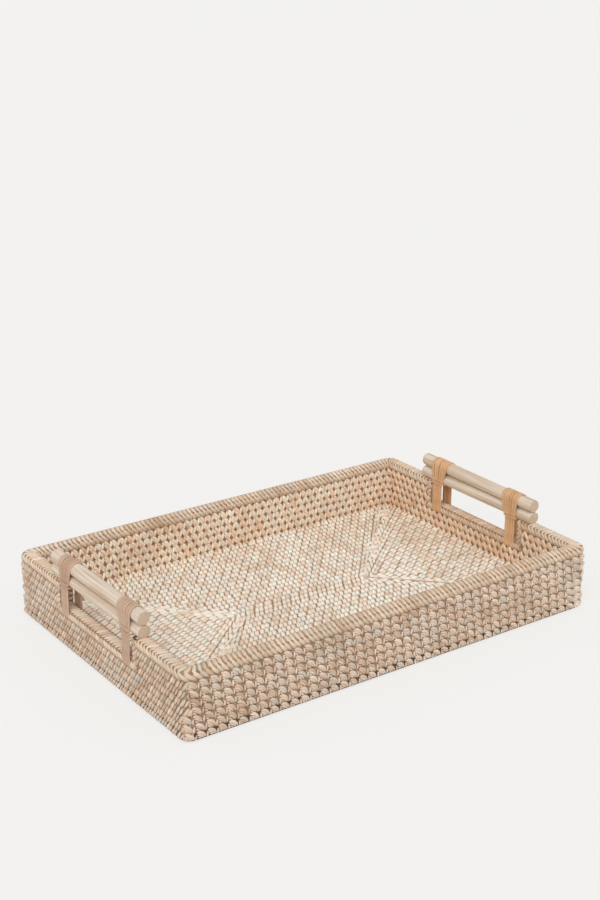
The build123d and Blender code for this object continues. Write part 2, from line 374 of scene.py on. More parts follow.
def peel_material(name, colour, hollow_shade, depth_range, spread=1.0):
    """Whitewashed peel: each strip has its own tone and fine fibres along it, and a painted shade where it
    dips low into the weave.
    """
    material, tree, shader = new_material(name, 0.62)
    strip_tone = add_node(tree, "ShaderNodeAttribute", attribute_name="tone").outputs["Fac"]
    tones = [
        tint(colour, 1 - 0.20 * spread, 1 - 0.27 * spread, 1 - 0.36 * spread),
        tint(colour, 1 + 0.02 * spread, 1 - 0.08 * spread, 1 - 0.14 * spread),
        tint(colour, 1 - 0.04 * spread, 1.00, 1 + 0.04 * spread),
        tint(colour, 1 + 0.14 * spread, 1 + 0.10 * spread, 1 + 0.08 * spread),
        tint(colour, 1 - 0.12 * spread, 1 - 0.04 * spread, 1 + 0.02 * spread),
        tint(colour, 1 + 0.22 * spread, 1 + 0.24 * spread, 1 + 0.28 * spread),
    ]
    places = (0.0, 0.18, 0.42, 0.62, 0.84, 1.0)
    base = ramp(tree, strip_tone, list(zip(places, tones)))
    grain = add_node(tree, "ShaderNodeAttribute", attribute_name="grain").outputs["Vector"]
    stretched = add_node(
        tree, "ShaderNodeMapping", {"Vector": grain, "Scale": (170.0, 2600.0, 0.0)}).outputs["Vector"]
    fibres = add_node(
        tree, "ShaderNodeTexNoise", {"Vector": stretched, "Scale": 1.0, "Detail": 3.0}).outputs["Fac"]
    streaks = ramp(tree, fibres, [(0.3, grey(0.70)), (0.5, grey(0.97)), (0.72, grey(1.12))])
    base = mix(tree, "MULTIPLY", 0.85, base, streaks)
    position = add_node(tree, "ShaderNodeTexCoord").outputs["Object"]
    patches = add_node(
        tree, "ShaderNodeTexNoise", {"Vector": position, "Scale": 26.0, "Detail": 3.0}).outputs["Fac"]
    wash = ramp(tree, patches, [(0.3, (0.86, 0.80, 0.74)), (0.5, grey(1.0)), (0.72, (1.06, 1.08, 1.11))])
    base = mix(tree, "MULTIPLY", 0.8, base, wash)
    # Painted shade: the lower a point of a strip lies in the weave (its grain depth), the more its colour
    # turns to the hollow shade; bare holds that share.
    height = add_node(tree, "ShaderNodeSeparateXYZ", {"Vector": grain}).outputs["Z"]
    low, high = depth_range
    bare = add_node(
        tree, "ShaderNodeMapRange",
        {"Value": height, "From Min": low, "From Max": high, "To Min": 0.6, "To Max": 0.0}).outputs["Result"]
    base = mix(tree, "MIX", bare, base, (*hollow_shade, 1.0))
    tree.links.new(base, shader.inputs["Base Color"])
    bump = add_node(tree, "ShaderNodeBump", {"Height": fibres, "Strength": 0.5, "Distance": 0.15 * MM})
    tree.links.new(bump.outputs["Normal"], shader.inputs["Normal"])
    return material


def backing_shade_material(name, colour):
    """Cane reeds behind the peel, darkened into painted shade for the gaps between stitches, with fine spots.
    """
    material, tree, shader = new_material(name, 0.8)
    position = add_node(tree, "ShaderNodeTexCoord").outputs["Object"]
    spots = add_node(
        tree, "ShaderNodeTexNoise", {"Vector": position, "Scale": 420.0, "Detail": 4.0}).outputs["Fac"]
    base = ramp(tree, spots, [(0.3, tint(colour, 0.6, 0.6, 0.6)), (0.7, tint(colour, 1.4, 1.4, 1.4))])
    tree.links.new(base, shader.inputs["Base Color"])
    bump = add_node(tree, "ShaderNodeBump", {"Height": spots, "Strength": 0.6, "Distance": 0.3 * MM})
    tree.links.new(bump.outputs["Normal"], shader.inputs["Normal"])
    return material


def pole_material(name, colour, end_grain=False):
    """Sanded pole with faint streaks along it, or its end grain with open pores."""
    material, tree, shader = new_material(name, 0.5)
    position = add_node(tree, "ShaderNodeTexCoord").outputs["Object"]
    if end_grain:
        pores = add_node(
            tree, "ShaderNodeTexVoronoi", {"Vector": position, "Scale": 1500.0}).outputs["Distance"]
        base = ramp(tree, pores, [
            (0.12, tint(colour, 0.45, 0.38, 0.30)), (0.38, tint(colour, 0.92, 0.86, 0.78))])
        tree.links.new(base, shader.inputs["Base Color"])
        bump = add_node(tree, "ShaderNodeBump", {"Height": pores, "Strength": 0.6, "Distance": 0.2 * MM})
        tree.links.new(bump.outputs["Normal"], shader.inputs["Normal"])
        return material
    scaled = add_node(
        tree, "ShaderNodeMapping", {"Vector": position, "Scale": (650.0, 16.0, 650.0)}).outputs["Vector"]
    fine = add_node(tree, "ShaderNodeTexNoise", {"Vector": scaled, "Scale": 1.0, "Detail": 4.0}).outputs["Fac"]
    base = ramp(tree, fine, [
        (0.28, tint(colour, 0.80, 0.70, 0.58)), (0.5, colour), (0.7, tint(colour, 1.10, 1.13, 1.18))])
    wide = add_node(
        tree, "ShaderNodeMapping", {"Vector": position, "Scale": (130.0, 9.0, 130.0)}).outputs["Vector"]
    broad = add_node(tree, "ShaderNodeTexNoise", {"Vector": wide, "Scale": 1.0, "Detail": 2.0}).outputs["Fac"]
    shade = ramp(tree, broad, [(0.35, (0.86, 0.78, 0.68)), (0.55, grey(1.0)), (0.7, (1.05, 1.06, 1.08))])
    base = mix(tree, "MULTIPLY", 0.9, base, shade)
    tree.links.new(base, shader.inputs["Base Color"])
    bump = add_node(tree, "ShaderNodeBump", {"Height": fine, "Strength": 0.35, "Distance": 0.15 * MM})
    tree.links.new(bump.outputs["Normal"], shader.inputs["Normal"])
    return material


# ---------------------------------------------------------------- weave
def curve(start, control, end, samples):
    """Points along a bent line, in metres, from three points in millimetres."""
    share = np.linspace(0, 1, samples)[:, None]
    start, control, end = (np.array(point) * MM for point in (start, control, end))
    return (1 - share) ** 2 * start + 2 * share * (1 - share) * control + share ** 2 * end


def stitch(bend, width, ends, peel, crown=0.8, samples=9):
    """One strip of peel: its bent line, its width, and its height at the start, middle and end (mm)."""
    line = curve(*bend, samples)
    share = np.linspace(0, 1, samples)
    widths = width * MM * (0.50 + 0.50 * np.sin(np.pi * (0.06 + 0.88 * share)) ** 0.7)
    start, middle, end = ends
    heights = start + (end - start) * share + (middle - (start + end) / 2) * np.sin(np.pi * share)
    return strip_template(line, widths, heights * MM, peel, crown=crown)


def mirrored(template):
    """The same strip with the other hand."""
    points, faces, grain = template
    return points * (-1, 1, 1), faces[:, ::-1], grain


def scatter(rng, stations, over, jitter):
    """Shifts of the stitches at some stations, each a little off its place."""
    count = len(stations)
    return np.stack([
        stations + rng.normal(0, jitter, count),
        over + rng.normal(0, jitter * 0.6, count),
        rng.normal(0, jitter * 0.35, count),
    ], axis=1)


WALL = Outline(WALL_HIGH.x, WALL_HIGH.y, WALL_DEPTH, OUTER_RADIUS, INNER_RADIUS)
THIN = 0.001 * MM
OUTER_FACE = Outline(WALL_HIGH.x, WALL_HIGH.y, THIN, OUTER_RADIUS, OUTER_RADIUS)
INNER_FACE = Outline(
    WALL_HIGH.x - WALL_DEPTH, WALL_HIGH.y - WALL_DEPTH, THIN, INNER_RADIUS, INNER_RADIUS)


def arch_stitches(peel):
    """Long walls, from outside: a broad strip arches over to the right, a thin one stands by its start."""
    return [
        stitch(((-4.8, 2.5), (0.2, 5.4), (4.3, -4.3)), 2.9, (-0.2, 1.2, -0.5), peel, crown=1.0),
        stitch(((-4.5, 0.4), (-1.0, 2.8), (2.5, -4.5)), 2.7, (-0.4, 0.8, -0.6), peel, crown=1.0),
        stitch(((-4.0, -1.7), (-2.4, -0.5), (0.4, -4.6)), 2.3, (-0.7, 0.3, -0.8), peel, crown=1.0),
        stitch(((-5.1, -4.2), (-5.5, -1.0), (-4.8, 1.6)), 1.8, (-0.3, 1.0, 0.1), peel, crown=1.1),
    ]


def twill_stitches(peel):
    """Short walls, from outside: two strips lean the same way and leave an eye beside them."""
    return [
        stitch(((-3.3, -4.9), (0.5, -0.3), (3.3, 4.9)), 3.2, (-0.8, 1.0, -0.8), peel, crown=1.0),
        stitch(((0.5, -4.9), (4.0, -0.3), (6.9, 4.9)), 2.6, (-0.9, 0.55, -0.9), peel, crown=1.0),
    ]


def zigzag_stitches(peel):
    """Inner faces: a broad strip falls to the right and a thin one climbs back over its end."""
    return [
        stitch(((-3.6, 4.5), (-0.2, 2.8), (2.8, -4.9)), 3.2, (-0.4, 1.1, -0.5), peel, crown=1.0),
        stitch(((-4.2, 1.9), (-1.6, 0.2), (0.6, -4.9)), 2.9, (-0.5, 0.6, -0.6), peel, crown=1.0),
        stitch(((1.8, -4.6), (3.0, -0.8), (4.9, 4.3)), 2.8, (-0.5, 0.8, -0.4), peel, crown=1.0),
    ]


def weave_wall_face(weave, rng, course, inner, sides):
    """Stitches of one course on one face of the walls."""
    bundle = Bundle(rng)
    middle = (course - 0.5) * COURSE_HEIGHT
    face = INNER_FACE if inner else OUTER_FACE

    def place(points):
        height = np.maximum(middle + points[:, 1], FOOT_CLEARANCE)
        x, y = face.place(points[:, 0], points[:, 2] if inner else -points[:, 2])
        return np.stack([x, y, height], axis=1)

    for side in sides:
        short = side in (RIGHT_SIDE, LEFT_SIDE)
        if inner:
            templates = [mirrored(template) for template in zigzag_stitches(weave.peel_thickness)]
            pitch, step = weave.end_pitch, -weave.inner_step
        elif short:
            templates = twill_stitches(weave.peel_thickness)
            pitch, step = weave.end_pitch, weave.end_step
        else:
            templates = arch_stitches(weave.peel_thickness)
            pitch, step = weave.stitch_pitch, weave.course_step
        shift = math.fmod(course * step, pitch)
        stations = face.lattice(side, pitch, shift)
        if course > LOW_COURSES and short:
            x, y = face.place(stations, 0.0)
            stations = stations[np.abs(y) > DIP_HALF + RIM_HEIGHT * 0.85]
        for template in templates:
            shifts = scatter(rng, stations, 0.0, 0.28 * MM)
            bundle.add_copies(template, shifts, place, flip=inner)
    return bundle


class TRAY_OT_walls(bpy.types.Operator):
    """Weave the stitches of the wall courses, outside and inside"""

    bl_idname = "tray.walls"
    bl_label = "Walls"

    def execute(self, context):
        weave = context.scene.tray_weave
        colours = context.scene.tray_colours
        rng = np.random.default_rng(weave.seed)
        depth = (-0.35 * MM, 0.25 * MM)
        outside = peel_material("outer_peel", colours.outer_wall, colours.hollow_shade, depth)
        inner_long = peel_material("inner_long_peel", colours.inner_long_wall_brightened, colours.hollow_shade, depth)
        inner_short = peel_material("inner_short_peel", colours.inner_short_wall, colours.hollow_shade, depth)
        faces = (
            ("outside", False, range(4), outside),
            ("inside_long", True, (FRONT_SIDE, BACK_SIDE), inner_long),
            ("inside_short", True, (RIGHT_SIDE, LEFT_SIDE), inner_short),
        )
        for course in range(1, COURSE_COUNT + 1):
            for name, inner, sides, peel in faces:
                if inner and course == 1:
                    continue
                woven = weave_wall_face(weave, rng, course, inner, sides)
                woven.piece(f"wall_weave_{name}_{course}", peel, "wall_peel")
        return {"FINISHED"}


class TRAY_OT_floor(bpy.types.Operator):
    """Weave the rows of the floor, on top and underneath"""

    bl_idname = "tray.floor"
    bl_label = "Floor"

    def execute(self, context):
        weave = context.scene.tray_weave
        colours = context.scene.tray_colours
        rng = np.random.default_rng(weave.seed + 1)
        peel = peel_material("floor_peel", colours.floor, colours.hollow_shade, (-0.45 * MM, 0.10 * MM), 0.75)
        for first in range(1, FLOOR_ROWS + 1, ROWS_PER_PIECE):
            rows = range(first, min(first + ROWS_PER_PIECE, FLOOR_ROWS + 1))
            for face, sign in (("top", 1), ("under", -1)):
                bundle = Bundle(rng)
                for row in rows:
                    self.weave_row(weave, rng, bundle, row, sign)
                bundle.piece(f"floor_weave_{face}_{first:02d}", peel, "floor_peel")
        for face, sign in (("top", 1), ("under", -1)):
            bundle = Bundle(rng)
            self.weave_spine(weave, rng, bundle, sign)
            bundle.piece(f"floor_weave_{face}_spine", peel, "floor_peel")
        seam = Bundle(rng)
        self.lay_seam(weave, rng, seam)
        bare = peel_material("seam_peel", colours.left_strap, colours.hollow_shade, (-3.0 * MM, -2.0 * MM), 0.4)
        seam.piece("floor_seam", bare, "floor_peel")
        return {"FINISHED"}

    def lay_seam(self, weave, rng, bundle):
        """A bare strand laid on the mitre between the front and right rows."""
        spine = corners("floor_spine")[1]
        strand = stitch(((-6.5, 0.3), (0.0, -0.4), (6.5, 0.2)), 1.7, (0.4, 0.9, 0.4), 0.6 * MM, crown=0.8)
        stations = (np.arange(8) + 0.5) * 10.5 * MM
        half = math.sqrt(0.5)

        def place(points):
            along, over, rise = points.T
            x = spine.x - 6.0 * MM + (along + over) * half
            y = (over - along) * half
            return np.stack([x, y, FLOOR_HIGH.z + 0.7 * MM + rise], axis=1)

        bundle.add_copies(strand, scatter(rng, stations, 0.0, 0.3 * MM), place)

    def leaves(self, weave, lean):
        """The two strips of one floor stitch, with a wider gap after the second."""
        return [
            stitch(((-2.6 * lean + step, -4.7), (0.6 * lean + step, 0.0), (2.6 * lean + step, 4.7)), width,
                   (-0.7, high, -0.7), weave.peel_thickness, crown=1.0)
            for step, width, high in ((0.0, 4.0, 0.75), (4.7, 3.9, 0.55))
        ]

    def weave_row(self, weave, rng, bundle, row, sign):
        """Stitches of one closed row."""
        low, high = corners(f"floor_row_{row:02d}")
        outline = Outline(high.x, high.y, ROW_PITCH, INNER_RADIUS, INNER_RADIUS)
        level = high.z if sign > 0 else low.z

        def place(points):
            x, y = outline.place(points[:, 0], ROW_PITCH / 2 - points[:, 1])
            return np.stack([x, y, level + sign * points[:, 2]], axis=1)

        for side in range(4):
            lean = -1 if side in (FRONT_SIDE, BACK_SIDE) else 1
            shift = lean * math.fmod(row * weave.floor_step, weave.floor_pitch)
            stations = outline.lattice(side, weave.floor_pitch, shift, -4.0 * MM)
            for leaf in self.leaves(weave, lean):
                bundle.add_copies(leaf, scatter(rng, stations, 0.0, 0.24 * MM), place, flip=sign > 0)

    def weave_spine(self, weave, rng, bundle, sign):
        """Stitches of the straight row in the middle."""
        low, high = corners("floor_spine")
        level = high.z if sign > 0 else low.z

        def place(points):
            return np.stack([points[:, 0], -points[:, 1], level + sign * points[:, 2]], axis=1)

        count = round((high.x - low.x) / weave.floor_pitch)
        stations = low.x + (np.arange(count) + 0.3) * (high.x - low.x) / count
        for leaf in self.leaves(weave, -1):
            bundle.add_copies(leaf, scatter(rng, stations, 0.0, 0.2 * MM), place, flip=sign > 0)


def wrap_template(half_width, height, pitch, peel, lean, corner=4.2 * MM, samples=23):
    """A turn over the rim: slanting up one face, nearly square across the top and down the other."""
    straight = height - corner
    across = 2 * (half_width - corner)
    bend = corner * math.pi / 2
    length = 2 * straight + across + 2 * bend
    along = np.linspace(0, length, samples)
    section = np.zeros((samples, 4))
    for index, run in enumerate(along):
        if run < straight:
            section[index] = (half_width, run, 1, 0)
        elif run < straight + bend:
            angle = (run - straight) / corner
            section[index] = (
                half_width - corner + corner * math.cos(angle), straight + corner * math.sin(angle),
                math.cos(angle), math.sin(angle))
        elif run < straight + bend + across:
            section[index] = (half_width - corner - (run - straight - bend), height, 0, 1)
        elif run < straight + 2 * bend + across:
            angle = (run - straight - bend - across) / corner
            section[index] = (
                corner - half_width - corner * math.sin(angle), straight + corner * math.cos(angle),
                -math.sin(angle), math.cos(angle))
        else:
            section[index] = (-half_width, length - run, -1, 0)
    share = along / length
    slant = np.interp(share, (0.0, 0.30, 0.70, 1.0), (-1.3, 0.0, -0.55, 0.8))
    line = np.stack([lean * slant * pitch, along], axis=1)
    widths = pitch * (0.72 + 0.06 * np.sin(np.pi * share))
    heights = 0.15 * peel - 0.9 * peel * (np.abs(2 * share - 1) ** 6)
    points, faces, grain = strip_template(line, widths, heights, peel, crown=1.35)
    return points, faces, grain, section, along


def wrap_places(template, shifts, bundle, place, flip):
    """Add turns of the rim; each point keeps its place round the section."""
    points, faces, grain, section, along = template
    around = np.clip(points[:, 1], 0, along[-1])
    across = np.interp(around, along, section[:, 0])
    up = np.interp(around, along, section[:, 1])
    out_across = np.interp(around, along, section[:, 2])
    out_up = np.interp(around, along, section[:, 3])
    rise = points[:, 2]
    folded = np.stack([points[:, 0], across + out_across * rise, up + out_up * rise], axis=1)
    bundle.add_copies((folded, faces, grain), shifts, place, flip)


class TRAY_OT_rim(bpy.types.Operator):
    """Wrap the rim round the walls and down through the two lowered openings"""

    bl_idname = "tray.rim"
    bl_label = "Rim"

    def execute(self, context):
        weave = context.scene.tray_weave
        colours = context.scene.tray_colours
        rng = np.random.default_rng(weave.seed + 2)
        peel = peel_material("rim_peel", colours.rim, colours.hollow_shade, (-0.4 * MM, 0.15 * MM), 0.8)
        turn = wrap_template(RIM_WIDTH / 2, RIM_HEIGHT, weave.wrap_pitch, weave.peel_thickness, -1)
        overhang = (RIM_WIDTH - WALL_DEPTH) / 2

        def place_rim(points):
            x, y = WALL.place(points[:, 0], RIM_WIDTH / 2 - overhang - points[:, 1])
            return np.stack([x, y, RIM_LOW.z + points[:, 2]], axis=1)

        count = round(WALL.length / weave.wrap_pitch)
        stations = np.arange(count) * WALL.length / count
        x, y = WALL.place(stations, RIM_WIDTH / 2)
        for name, run in (("front", -1), ("back", 1)):
            kept = stations[y * run > DIP_HALF + 2.0 * MM]
            bundle = Bundle(rng)
            shifts = scatter(rng, kept, 0.0, 0.16 * MM) * (1, 0, 0.5)
            wrap_places(turn, shifts, bundle, place_rim, flip=False)
            bundle.piece(f"rim_wrap_{name}", peel, "rim_peel")

        warm = peel_material(
            "dip_peel", tint(colours.inner_short_wall, 0.88, 0.88, 0.88), colours.hollow_shade,
            (-0.4 * MM, 0.15 * MM), 0.8)
        for name, side, wrapping in (("left", -1, peel), ("right", 1, warm)):
            bundle = Bundle(rng)
            self.wrap_dip(weave, rng, bundle, turn, side)
            bundle.piece(f"dip_wrap_{name}", wrapping, "rim_peel")
        return {"FINISHED"}

    def wrap_dip(self, weave, rng, bundle, turn, side):
        """Turns along the U-shaped lowered rim."""
        centre_x = side * (DIP_LOW.x + DIP_HIGH.x) / 2
        bend = 2.0 * MM
        rise = DIP_HIGH.z - DIP_LOW.z - bend
        length = 2 * (DIP_HIGH.y - bend)
        arc = bend * math.pi / 2
        total = 2 * rise + 2 * arc + length

        def place(points):
            along, across, up = points.T
            along = np.clip(along, 0.0, total)
            base_y = np.full(len(along), -DIP_HIGH.y)
            base_z = DIP_HIGH.z - along
            normal_y = np.ones(len(along))
            normal_z = np.zeros(len(along))
            stages = ((rise, -1, -1), (rise + arc + length, 1, 1))
            flat = (along >= rise + arc) & (along <= rise + arc + length)
            base_y[flat] = along[flat] - rise - arc - DIP_HIGH.y + bend
            base_z[flat] = DIP_LOW.z
            normal_y[flat], normal_z[flat] = 0.0, 1.0
            for start, end_sign, turn_sign in stages:
                here = (along > start) & (along < start + arc)
                angle = (along[here] - start) / bend
                swing = angle if turn_sign < 0 else math.pi / 2 - angle
                base_y[here] = end_sign * (DIP_HIGH.y - bend + bend * np.cos(swing))
                base_z[here] = DIP_LOW.z + bend - bend * np.sin(swing)
                normal_y[here] = -end_sign * np.cos(swing)
                normal_z[here] = np.sin(swing)
            last = along >= rise + 2 * arc + length
            base_y[last] = DIP_HIGH.y
            base_z[last] = DIP_LOW.z + bend + (along[last] - rise - 2 * arc - length)
            normal_y[last], normal_z[last] = -1.0, 0.0
            y = base_y + normal_y * up
            z = base_z + normal_z * up
            return np.stack([centre_x + side * across, y * side, z], axis=1)

        count = round((total - 2.0 * MM) / weave.wrap_pitch)
        stations = 2.0 * MM + np.arange(count) * (total - 4.0 * MM) / (count - 1)
        shifts = scatter(rng, stations, 0.0, 0.16 * MM) * (1, 0, 0.5)
        wrap_places(turn, shifts, bundle, place, flip=False)


# ---------------------------------------------------------------- handles
class TRAY_OT_rods(bpy.types.Operator):
    """Turn the four rattan rods, slightly uneven, with a swollen node ring and cut ends"""

    bl_idname = "tray.rods"
    bl_label = "Rods"

    def execute(self, context):
        weave = context.scene.tray_weave
        colours = context.scene.tray_colours
        side_grain = pole_material("rod_side", colours.rod)
        end_grain = pole_material("rod_end", colours.rod, end_grain=True)
        rods = [name for name in NODES if "_rod_" in name]
        for number, node in enumerate(rods):
            rng = np.random.default_rng(weave.seed + 10 + number)
            rod = self.turn_rod(node, rng)
            rod.data.materials.append(side_grain)
            rod.data.materials.append(end_grain)
            ends = [abs(face.normal.y) > 0.9 for face in rod.data.polygons]
            rod.data.polygons.foreach_set("material_index", np.array(ends, dtype=np.int32))
            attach(rod, "root")
            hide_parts(node)
        return {"FINISHED"}

    def turn_rod(self, node, rng):
        """A round pole whose radius and line wander a little."""
        low, high = corners(node)
        radius = (high.x - low.x) / 2
        centre = (low + high) / 2
        rings, around = 90, 40
        share = np.linspace(0, 1, rings)
        y = low.y + share * (high.y - low.y)
        angle = np.linspace(0, 2 * math.pi, around, endpoint=False)
        radii = np.full((rings, around), radius)
        radii *= 1 + 0.010 * np.sin(share * 9 + rng.uniform(0, 6))[:, None]
        radii *= 1 + 0.012 * np.cos(2 * angle + rng.uniform(0, 6))[None, :]
        joint = rng.uniform(0.25, 0.75)
        radii *= 1 + 0.030 * np.exp(-((share - joint) / 0.008) ** 2)[:, None]
        radii[0] *= 0.90
        radii[-1] *= 0.90
        radii[1] *= 0.985
        radii[-2] *= 0.985
        y[1], y[-2] = y[0] + 0.6 * MM, y[-1] - 0.6 * MM
        drift = 0.25 * MM
        centre_x = centre.x + drift * np.sin(share * 5 + rng.uniform(0, 6))
        centre_z = centre.z + 0.4 * drift * np.sin(share * 6 + rng.uniform(0, 6))
        x = centre_x[:, None] + radii * np.cos(angle)
        z = centre_z[:, None] + radii * np.sin(angle)
        points = np.stack([x, np.repeat(y[:, None], around, 1), z], axis=-1).reshape(-1, 3).tolist()
        faces = []
        for ring in range(rings - 1):
            for step in range(around):
                ahead = (step + 1) % around
                faces.append((
                    ring * around + step, ring * around + ahead,
                    (ring + 1) * around + ahead, (ring + 1) * around + step))
        for ring, outward in ((0, -1), (rings - 1, 1)):
            middle = len(points)
            points.append((centre_x[ring], y[ring] + outward * 0.15 * MM, centre_z[ring]))
            for step in range(around):
                edge = (ring * around + step, ring * around + (step + 1) % around)
                faces.append((middle, *(edge[::-1] if outward > 0 else edge)))
        mesh = bpy.data.meshes.new(node.replace("rod", "pole"))
        mesh.from_pydata(points, [], [face[::-1] for face in faces])
        mesh.polygons.foreach_set("use_smooth", np.array([len(face) == 4 for face in faces]))
        mesh.update()
        rod = bpy.data.objects.new(mesh.name, mesh)
        bpy.context.scene.collection.objects.link(rod)
        return rod


class TRAY_OT_straps(bpy.types.Operator):
    """Lash the rods on: strands over the rods and turns round the foot of each strap"""

    bl_idname = "tray.straps"
    bl_label = "Straps"

    def execute(self, context):
        weave = context.scene.tray_weave
        colours = context.scene.tray_colours
        rng = np.random.default_rng(weave.seed + 3)
        for side, colour in (("left", colours.left_strap), ("right", colours.right_strap_brightened)):
            peel = peel_material(f"{side}_strap_peel", colour, colours.hollow_shade, (-3.0 * MM, -2.0 * MM), 0.5)
            for run in ("front", "back"):
                strap = self.lash(weave, rng, side, run)
                made = strap.piece(f"{side}_lashing_{run}", peel, "strap")
                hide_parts(f"{side}_strap_{run}")
                foot = self.bind(weave, rng, side, run)
                made = foot.piece(f"{side}_foot_turns_{run}", peel, "strap")
                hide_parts(f"{side}_binding_{run}")
        return {"FINISHED"}

    def loop(self, side, reach, samples=72):
        """Points and outward directions round both rods and the lowered rim, in X and Z."""
        upper_low, upper_high = corners(f"{side}_rod_upper")
        radius = (upper_high.x - upper_low.x) / 2 + reach
        top = (upper_low.z + upper_high.z) / 2
        foot = DIP_LOW.z - reach
        half = max(radius, RIM_WIDTH / 2 + reach)
        corner = 2.0 * MM
        leg = top - foot - corner
        arc = math.pi * radius
        bend = corner * math.pi / 2
        under = 2 * (half - corner)
        total = 2 * leg + arc + 2 * bend + under
        points = []
        for run in np.linspace(0, total, samples, endpoint=False):
            if run < leg:
                points.append((half, foot + corner + run, 1, 0))
            elif run < leg + arc:
                angle = (run - leg) / radius
                points.append((
                    radius * math.cos(angle), top + radius * math.sin(angle),
                    math.cos(angle), math.sin(angle)))
            elif run < 2 * leg + arc:
                points.append((-half, top - (run - leg - arc), -1, 0))
            elif run < 2 * leg + arc + bend:
                angle = (run - 2 * leg - arc) / corner
                points.append((
                    corner - half - corner * math.cos(angle), foot + corner - corner * math.sin(angle),
                    -math.cos(angle), -math.sin(angle)))
            elif run < 2 * leg + arc + bend + under:
                points.append((corner - half + (run - 2 * leg - arc - bend), foot, 0, -1))
            else:
                angle = (run - 2 * leg - arc - bend - under) / corner
                points.append((
                    half - corner + corner * math.sin(angle), foot + corner - corner * math.cos(angle),
                    math.sin(angle), -math.cos(angle)))
        return np.array(points), total

    def lash(self, weave, rng, side, run):
        """Strands of one strap, wide at the top and drawn in at the foot."""
        low, high = corners(f"{side}_strap_{run}")
        centre_x = (low.x + high.x) / 2
        centre_y = (low.y + high.y) / 2
        top_width = high.y - low.y
        foot_width = top_width * STRAP_FOOT_SHARE
        bundle = Bundle(rng)
        for number in range(STRAND_COUNT):
            reach = 0.15 * MM + rng.uniform(0, 0.25) * MM
            path, total = self.loop(side, reach)
            height = np.clip((path[:, 1] - DIP_HIGH.z) / (high.z - DIP_HIGH.z), 0, 1)
            height = np.sin(height * math.pi / 2)
            width = foot_width + (top_width - foot_width) * height
            share = (number + 0.5) / STRAND_COUNT - 0.5
            wander = 0.25 * MM * np.sin(np.linspace(0, 2 * math.pi, len(path)) + rng.uniform(0, 6))
            drawn = (1 - height) * math.copysign(STRAP_DRAW, centre_y)
            middle = centre_y + drawn + share * width + wander
            half = width / STRAND_COUNT / 2 * 0.96
            rows = []
            for spread, rise in STRAND_SECTION:
                out = rise * weave.peel_thickness
                rows.append(np.stack([
                    centre_x + path[:, 0] + path[:, 2] * out,
                    middle + spread * half,
                    path[:, 1] + path[:, 3] * out], axis=1))
            self.close_loop(bundle, np.stack(rows, axis=1), total, half, STRAND_SECTION)
        return bundle

    def bind(self, weave, rng, side, run):
        """Turns of peel round the strap's foot, on the slant."""
        low, high = corners(f"{side}_binding_{run}")
        centre = (low + high) / 2
        centre.y += math.copysign(2.0 * MM, centre.y)
        samples = 48
        bundle = Bundle(rng)
        half_x = (high.x - low.x) / 2 - weave.peel_thickness * 1.5
        half_y = (high.y - low.y) / 2 * 0.66
        around = np.linspace(0, 2 * math.pi, samples, endpoint=False)
        outline = Outline(half_x, half_y, 1.0 * MM, 1.2 * MM, 1.2 * MM)
        along = np.linspace(0, outline.length, samples, endpoint=False)
        for number in range(TURN_COUNT):
            slant = rng.uniform(0.5, 1.3) * MM * np.sin(around + rng.uniform(0, 6))
            level = DIP_HIGH.z + 0.9 * MM + TURN_RISE * number + slant
            rows = []
            for spread, rise in TURN_SECTION:
                x, y = outline.place(along, np.full(samples, -rise * weave.peel_thickness))
                rows.append(np.stack([centre.x + x, centre.y + y, level + spread * TURN_HALF_WIDTH], axis=1))
            rings = np.stack(rows, axis=1)[::-1]
            self.close_loop(bundle, rings, outline.length, TURN_HALF_WIDTH, TURN_SECTION)
        return bundle

    def close_loop(self, bundle, rings, length, half, profile):
        """Join rings of a closed strand into one mesh."""
        count, around, _ = rings.shape
        index = np.arange(count * around).reshape(count, around)
        ahead = np.roll(index, -1, axis=0)
        faces = np.stack([
            index, np.roll(index, -1, axis=1), np.roll(ahead, -1, axis=1), ahead], -1).reshape(-1, 4)
        run = np.repeat(np.linspace(0, length, count), around)
        spreads = np.array([spread for spread, _ in profile])
        over = (np.broadcast_to(half, count)[:, None] * spreads).ravel()
        grain = np.stack([run, over, np.zeros(len(run))], axis=1)
        bundle.add(rings.reshape(-1, 3), faces, grain)


class TRAY_OT_backing(bpy.types.Operator):
    """Give the reeds and the bound rows behind the stitches a dark finish: painted shade seen through the
    gaps, and a darker painted contact shadow on the lowest course
    """

    bl_idname = "tray.backing"
    bl_label = "Backing"

    def execute(self, context):
        colours = context.scene.tray_colours
        # Painted shade: the backing takes the dark hollow colour, so the gaps between stitches read as shadow.
        cane = backing_shade_material("bare_cane", colours.hollow_shade)
        # Painted shadow: the lowest course's backing is made four times darker, a dark contact line along the
        # foot of the walls.
        foot = backing_shade_material("foot_cane", tint(colours.hollow_shade, 0.25, 0.25, 0.25))
        for name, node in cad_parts.items():
            if "_rod_" in name or "_strap_" in name or "_binding_" in name:
                continue
            node.data.materials.clear()
            node.data.materials.append(foot if name.startswith("wall_course_1") else cane)
        return {"FINISHED"}


# ---------------------------------------------------------------- stage
CAMERA_AZIMUTH = -35.16
CAMERA_ELEVATION = 20.08
CAMERA_DISTANCE = 3.326        # tray lengths
CAMERA_ACROSS = -0.009         # tray lengths
CAMERA_UP = 0.340              # tray lengths
CAMERA_LENS = 61.94
STAGE_RADIUS = 30.0
FLOOR_GLOW = 0.78              # share of the floor's own colour that the camera sees
WORLD_STRENGTH = 0.62
LAMP_STRENGTH = 1.35
LAMP_SPREAD = 50               # degrees
LAMP_TOWARD = (-0.55, -0.62, 1.0)


